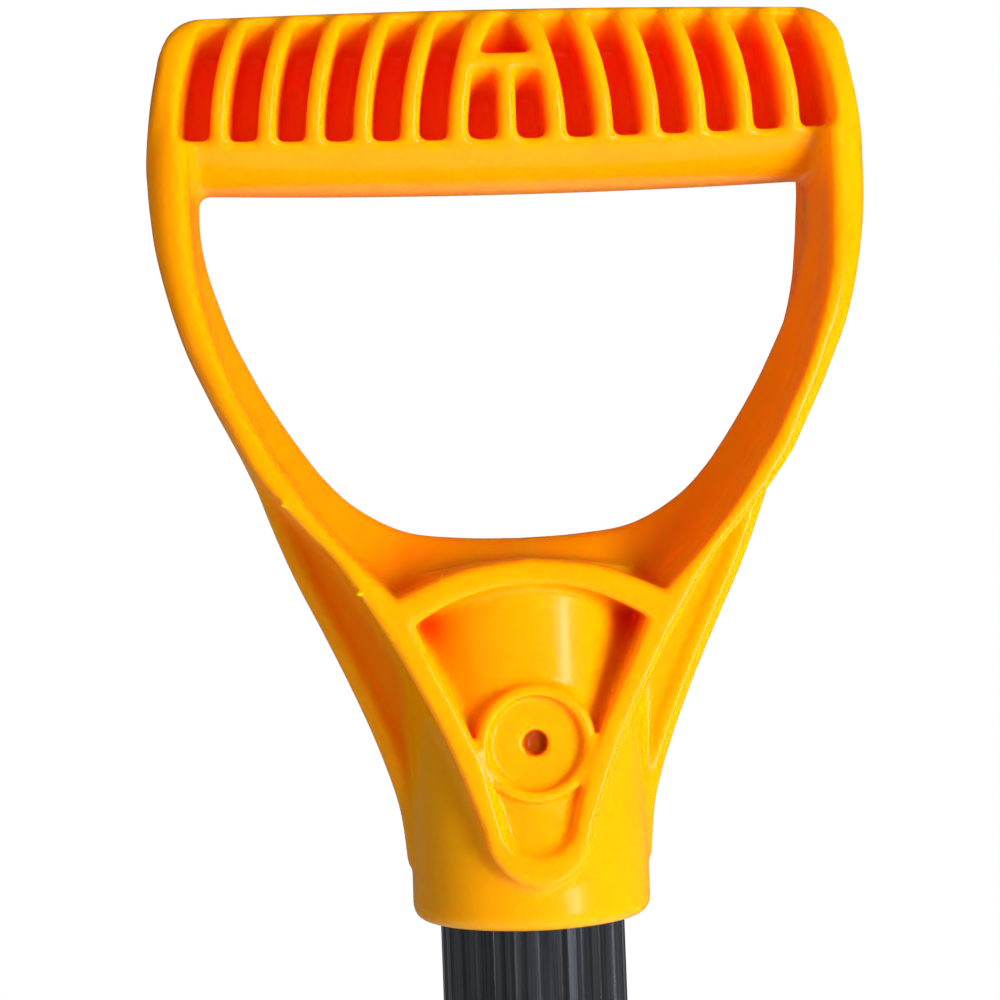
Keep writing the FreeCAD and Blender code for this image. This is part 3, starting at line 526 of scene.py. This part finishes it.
class Shader:
    """A small helper that wires a material's nodes."""

    def __init__(self, name):
        self.material = bpy.data.materials.new(name)
        self.material.use_nodes = True
        self.tree = self.material.node_tree
        self.shader = self.tree.nodes["Principled BSDF"]
        self.coordinates = self.tree.nodes.new("ShaderNodeTexCoord").outputs["Object"]

    def set(self, **values):
        for name, value in values.items():
            self.shader.inputs[name.replace("_", " ")].default_value = value

    def join(self, source, node, socket):
        if isinstance(source, (int, float)):
            node.inputs[socket].default_value = source
        else:
            self.tree.links.new(source, node.inputs[socket])

    def stretched(self, scale, tilt):
        node = self.tree.nodes.new("ShaderNodeMapping")
        node.inputs["Scale"].default_value = scale
        node.inputs["Rotation"].default_value = (0.0, tilt, 0.0)
        self.tree.links.new(self.coordinates, node.inputs["Vector"])
        return node.outputs["Vector"]

    def noise(self, scale, detail=2.0, roughness=0.5, stretch=(1, 1, 1), distortion=0.0, tilt=0.0):
        node = self.tree.nodes.new("ShaderNodeTexNoise")
        node.inputs["Scale"].default_value = scale
        node.inputs["Detail"].default_value = detail
        node.inputs["Roughness"].default_value = roughness
        node.inputs["Distortion"].default_value = distortion
        self.tree.links.new(self.stretched(stretch, tilt), node.inputs["Vector"])
        return node.outputs["Fac"]

    def remap(self, source, low, high, to_low, to_high):
        node = self.tree.nodes.new("ShaderNodeMapRange")
        self.join(source, node, "Value")
        limits = {"From Min": low, "From Max": high, "To Min": to_low, "To Max": to_high}
        for socket, value in limits.items():
            self.join(value, node, socket)
        return node.outputs["Result"]

    def math(self, operation, a, b=0.0):
        node = self.tree.nodes.new("ShaderNodeMath")
        node.operation = operation
        self.join(a, node, 0)
        self.join(b, node, 1)
        return node.outputs["Value"]

    def mix(self, factor, a, b):
        node = self.tree.nodes.new("ShaderNodeMix")
        node.data_type = "RGBA"
        self.join(factor, node, "Factor")
        for socket, colour in ((6, a), (7, b)):
            if isinstance(colour, tuple):
                node.inputs[socket].default_value = (*colour, 1.0)
            else:
                self.tree.links.new(colour, node.inputs[socket])
        return node.outputs[2]

    def along(self, axis):
        node = self.tree.nodes.new("ShaderNodeSeparateXYZ")
        self.tree.links.new(self.coordinates, node.inputs["Vector"])
        return node.outputs[axis]

    def bump(self, height, strength, distance):
        """Adds a bump over the ones already there."""
        node = self.tree.nodes.new("ShaderNodeBump")
        node.inputs["Strength"].default_value = strength
        node.inputs["Distance"].default_value = distance
        self.join(height, node, "Height")
        before = self.shader.inputs["Normal"]
        if before.is_linked:
            self.tree.links.new(before.links[0].from_socket, node.inputs["Normal"])
        self.tree.links.new(node.outputs["Normal"], before)

    def feed(self, source, socket):
        self.tree.links.new(source, self.shader.inputs[socket])


def grip_plastic():
    s = Shader("grip_plastic")
    s.set(IOR=1.49, Specular_IOR_Level=0.22)
    s.shader.inputs["Subsurface Weight"].default_value = 0.85
    s.shader.inputs["Subsurface Radius"].default_value = (1.0, 0.12, 0.02)
    s.shader.inputs["Subsurface Scale"].default_value = 0.007
    cloud = s.noise(60, 3, 0.55)
    pigment = s.mix(s.remap(cloud, 0.3, 0.7, 0, 1), (1.0, 0.355, 0.0), (1.0, 0.38, 0.0))
    # painted shade: the attribute read here turns the pigment redder in slots, pockets and the hand
    # opening's walls, standing in for their shade and the red glow of light passing through the plastic
    recess_shade = s.tree.nodes.new("ShaderNodeAttribute")
    recess_shade.attribute_name = "recess_shade"
    pigment_with_painted_shade = s.mix(recess_shade.outputs["Fac"], pigment, (1.0, 0.12, 0.0))
    # painted shade: the screw's dimple is painted dark red-brown, standing in for the shadow in the hole
    painted_hole_shade = s.remap(recess_shade.outputs["Fac"], 1.0, 2.0, 0.0, 1.0)
    s.feed(s.mix(painted_hole_shade, pigment_with_painted_shade, (0.4, 0.05, 0.0)), "Base Color")
    s.feed(s.remap(s.noise(240, 4, 0.6), 0.3, 0.7, 0.17, 0.27), "Roughness")
    s.bump(s.noise(2200, 2, 0.5), 0.22, 0.00006)
    s.bump(s.noise(160, 2, 0.5), 0.2, 0.00012)
    return s.material


def anodised_dark():
    s = Shader("dark_anodised")
    s.set(Metallic=0.85, IOR=1.5, Coat_Weight=0.9, Coat_Roughness=0.13)
    streak = s.noise(900, 3, 0.6, stretch=(1, 1, 0.02))
    tone = s.mix(s.remap(streak, 0.3, 0.7, 0, 1), (0.03, 0.033, 0.042), (0.13, 0.142, 0.17))
    s.feed(tone, "Base Color")
    s.feed(s.remap(streak, 0.3, 0.7, 0.12, 0.2), "Roughness")
    s.bump(s.noise(1400, 2, 0.5, stretch=(1, 1, 0.03)), 0.12, 0.00004)
    return s.material


def satin_aluminium(name, colour, streaks, wear_below=None):
    s = Shader(name)
    s.set(Metallic=1.0)
    brushed = s.noise(700, 3, 0.6, stretch=streaks)
    cloud = s.noise(22, 4, 0.6)
    tone = s.mix(s.remap(cloud, 0.35, 0.65, 0, 1), tuple(c * 0.9 for c in colour), colour)
    rough = s.remap(brushed, 0.3, 0.7, 0.27, 0.42)
    if wear_below:
        scuff = s.noise(160, 5, 0.7, stretch=(1, 1, 0.25), distortion=0.4)
        low_down = s.remap(s.along("Z"), 0.0, wear_below, 1.0, 0.0)
        worn = s.math("MULTIPLY", s.remap(scuff, 0.5, 0.6, 0, 1), low_down)
        rough = s.math("ADD", rough, s.math("MULTIPLY", worn, 0.2))
        s.bump(s.math("MULTIPLY", scuff, low_down), 0.3, 0.0002)
        for lean in (0.05, -0.09):
            score = s.noise(420, 2, 0.4, stretch=(1, 1, 0.02), tilt=lean)
            score = s.remap(score, 0.66, 0.71, 0.0, 1.0)
            fading = s.remap(s.along("Z"), 0.02, 2.2 * wear_below, 1.0, 0.0)
            s.bump(s.math("MULTIPLY", score, fading), 0.35, -0.00012)
        edge = s.remap(s.along("Z"), 0.002, 0.016, 1.0, 0.0)
        tone = s.mix(edge, tone, tuple(c * 1.15 for c in colour))
    s.feed(tone, "Base Color")
    s.feed(rough, "Roughness")
    s.bump(brushed, 0.1, 0.00005)
    return s.material


def zinc_steel(name="steel", colour=(0.56, 0.56, 0.55)):
    s = Shader(name)
    s.set(Metallic=1.0)
    grain = s.noise(1200, 3, 0.6)
    s.feed(s.mix(grain, tuple(c * 0.8 for c in colour), colour), "Base Color")
    s.feed(s.remap(s.noise(500, 2), 0.3, 0.7, 0.2, 0.34), "Roughness")
    s.bump(grain, 0.06, 0.00004)
    return s.material


def moulded_plastic(name, colour, rough):
    s = Shader(name)
    s.set(IOR=1.48)
    cloud = s.noise(90, 3)
    s.feed(s.mix(cloud, tuple(c * 0.8 for c in colour), tuple(c * 1.15 for c in colour)), "Base Color")
    s.feed(s.remap(s.noise(300, 3), 0.3, 0.7, rough - 0.06, rough + 0.08), "Roughness")
    s.bump(s.noise(1800, 2), 0.35, 0.00008)
    return s.material


dark = anodised_dark()
steel = zinc_steel()
black = moulded_plastic("black_plastic", (0.022, 0.022, 0.024), 0.45)
nylon = moulded_plastic("natural_plastic", (0.72, 0.7, 0.63), 0.4)
finishes = {
    "blade": satin_aluminium("blade_aluminium", (0.66, 0.68, 0.7), (0.03, 1, 1), wear_below=0.13),
    "blade_socket": satin_aluminium("socket_aluminium", (0.52, 0.54, 0.57), (1, 1, 0.03)),
    "socket_rivets": satin_aluminium("rivet_aluminium", (0.66, 0.67, 0.69), (1, 1, 1)),
    "socket_stop_pin": steel,
    "lower_tube": dark,
    "lower_tube_plug": black,
    "guide_collar": black,
    "guide_liner": nylon,
    "guide_screw": steel,
    "upper_tube": dark,
    "upper_tube_glide": black,
    "shaft_core_plug": nylon,
    "grip_screw": steel,
    "grip_washer": steel,
}
for node, finish in finishes.items():
    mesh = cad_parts[node].data
    mesh.materials.clear()
    mesh.materials.append(finish)
grip.data.materials.append(grip_plastic())
spring_steel = zinc_steel("spring_steel", (0.6, 0.6, 0.58))
for clip in clips:
    clip.data.materials.append(spring_steel)


# ---------------------------------------------------------------- floor, light and camera

scene = bpy.context.scene
FLOOR_HALF = 8.0
FADE_FROM, FADE_TO = 0.3, 1.5  # the floor turns into plain white between these distances


def build_world():
    """White to the camera, a soft fill on matt surfaces, and nearly black in reflections."""
    world = scene.world or bpy.data.worlds.new("studio")
    scene.world = world
    world.use_nodes = True
    nodes, links = world.node_tree.nodes, world.node_tree.links
    nodes.clear()
    output = nodes.new("ShaderNodeOutputWorld")
    seen, soft, mirrored = (nodes.new("ShaderNodeBackground") for _ in range(3))
    seen.inputs["Color"].default_value = (1, 1, 1, 1)
    for background, strength in ((seen, 1.0), (soft, 0.22), (mirrored, 0.04)):
        background.inputs["Strength"].default_value = strength
    path = nodes.new("ShaderNodeLightPath")
    glossy, shown = nodes.new("ShaderNodeMixShader"), nodes.new("ShaderNodeMixShader")
    links.new(path.outputs["Is Glossy Ray"], glossy.inputs["Fac"])
    links.new(soft.outputs["Background"], glossy.inputs[1])
    links.new(mirrored.outputs["Background"], glossy.inputs[2])
    links.new(path.outputs["Is Camera Ray"], shown.inputs["Fac"])
    links.new(glossy.outputs["Shader"], shown.inputs[1])
    links.new(seen.outputs["Background"], shown.inputs[2])
    links.new(shown.outputs["Shader"], output.inputs["Surface"])


def pale_floor():
    """Matt and pale near the shovel, fading into a backdrop that the camera sees as white."""
    s = Shader("pale_floor")
    s.set(Roughness=0.7)
    s.feed(s.mix(s.noise(6, 3), (0.86, 0.86, 0.86), (0.9, 0.9, 0.9)), "Base Color")
    nodes, links = s.tree.nodes, s.tree.links
    distance = nodes.new("ShaderNodeVectorMath")
    distance.operation = "LENGTH"
    links.new(s.coordinates, distance.inputs[0])
    far = s.remap(distance.outputs["Value"], FADE_FROM, FADE_TO, 0.0, 1.0)
    backdrop = nodes.new("ShaderNodeEmission")
    seen = nodes.new("ShaderNodeLightPath").outputs["Is Camera Ray"]
    links.new(s.remap(seen, 0.0, 1.0, 0.15, 1.0), backdrop.inputs["Strength"])
    fade = nodes.new("ShaderNodeMixShader")
    links.new(far, fade.inputs["Fac"])
    links.new(s.shader.outputs["BSDF"], fade.inputs[1])
    links.new(backdrop.outputs["Emission"], fade.inputs[2])
    links.new(fade.outputs["Shader"], nodes["Material Output"].inputs["Surface"])
    return s.material


def build_floor():
    corners = [(-1, -1), (1, -1), (1, 1), (-1, 1)]
    mesh = bpy.data.meshes.new("floor")
    mesh.from_pydata([(x * FLOOR_HALF, y * FLOOR_HALF, 0) for x, y in corners], [], [(0, 1, 2, 3)])
    mesh.materials.append(pale_floor())
    floor = bpy.data.objects.new("floor", mesh)
    scene.collection.objects.link(floor)
    return floor


def area_light(name, at, aim, size, power, lights=True, mirrored=True):
    """lights and mirrored say whether it lights matt surfaces and is seen in shiny ones."""
    data = bpy.data.lights.new(name, "AREA")
    data.shape = "RECTANGLE"
    data.size, data.size_y = size
    data.energy = power
    light = bpy.data.objects.new(name, data)
    scene.collection.objects.link(light)
    light.visible_diffuse = lights
    light.visible_glossy = mirrored
    light.location = at
    light.rotation_euler = (Vector(aim) - Vector(at)).to_track_quat("-Z", "Y").to_euler()


def build_camera(at, yaw, pitch, roll, focal_widths):
    """A level camera at yaw 0 looks along +Y. focal_widths is focal length over sensor width."""
    data = bpy.data.cameras.new("camera")
    data.sensor_width = 36.0
    data.lens = data.sensor_width * focal_widths
    data.clip_start = 0.01
    camera = bpy.data.objects.new("camera", data)
    scene.collection.objects.link(camera)
    yaw, pitch, roll = (math.radians(a) for a in (yaw, pitch, roll))
    forward = Vector((math.sin(yaw) * math.cos(pitch), math.cos(yaw) * math.cos(pitch), math.sin(pitch)))
    level = Vector((math.cos(yaw), -math.sin(yaw), 0))
    upright = level.cross(forward)
    right = math.cos(roll) * level + math.sin(roll) * upright
    up = math.cos(roll) * upright - math.sin(roll) * level
    turn = Matrix((right, up, -forward)).transposed().to_4x4()
    camera.matrix_world = Matrix.Translation(at) @ turn
    return camera


build_world()
floor = build_floor()

target = GRIP_AT + Vector((0, 0, 0.07))
key_at = target + Vector((0.76, -1.0, -0.08))
area_light("key", key_at, target, (0.55, 0.7), 27, mirrored=False)
area_light("glint", key_at, target, (0.16, 0.7), 6.5, lights=False)
area_light("rear", target + Vector((0.3, 1.3, 0.25)), target, (1.2, 1.2), 30, mirrored=False)
area_light("left", target + Vector((-1.2, -0.5, 0.2)), target, (0.7, 0.7), 4.0, mirrored=False)

scene.view_settings.view_transform = "Standard"
camera_at = GRIP_AT + Vector((-0.032, -0.40103, 0.0662))
scene.camera = build_camera(camera_at, yaw=4.144, pitch=0.861, roll=-2.15, focal_widths=2.3)
